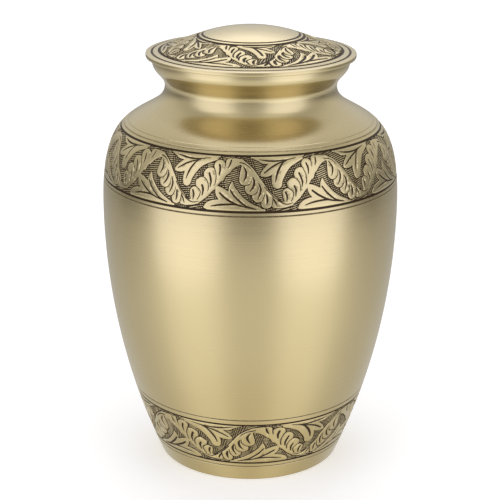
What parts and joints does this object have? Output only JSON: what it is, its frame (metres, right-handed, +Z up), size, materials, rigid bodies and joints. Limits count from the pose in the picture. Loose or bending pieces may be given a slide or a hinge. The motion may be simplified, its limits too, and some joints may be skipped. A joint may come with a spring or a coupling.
{
  "type": "cremation urn",
  "caption": "Tall shouldered urn in satin brass with engraved scroll bands round foot, shoulder and lid; the lid lifts off a hollow vessel that holds ashes",
  "frame": {"origin": "centre of the flat underside", "axes": "+Z up the axis of the urn; the urn is round, so X and Y lie anywhere level"},
  "size_m": [0.162, 0.162, 0.2429],
  "materials": {
    "satin_brass": "turned brass, satin surface under clear lacquer, with dark patina in the engraved bands"
  },
  "bodies": {
    "root": {"vessel": "satin_brass", "lid": "satin_brass"}
  },
  "joints": []
}
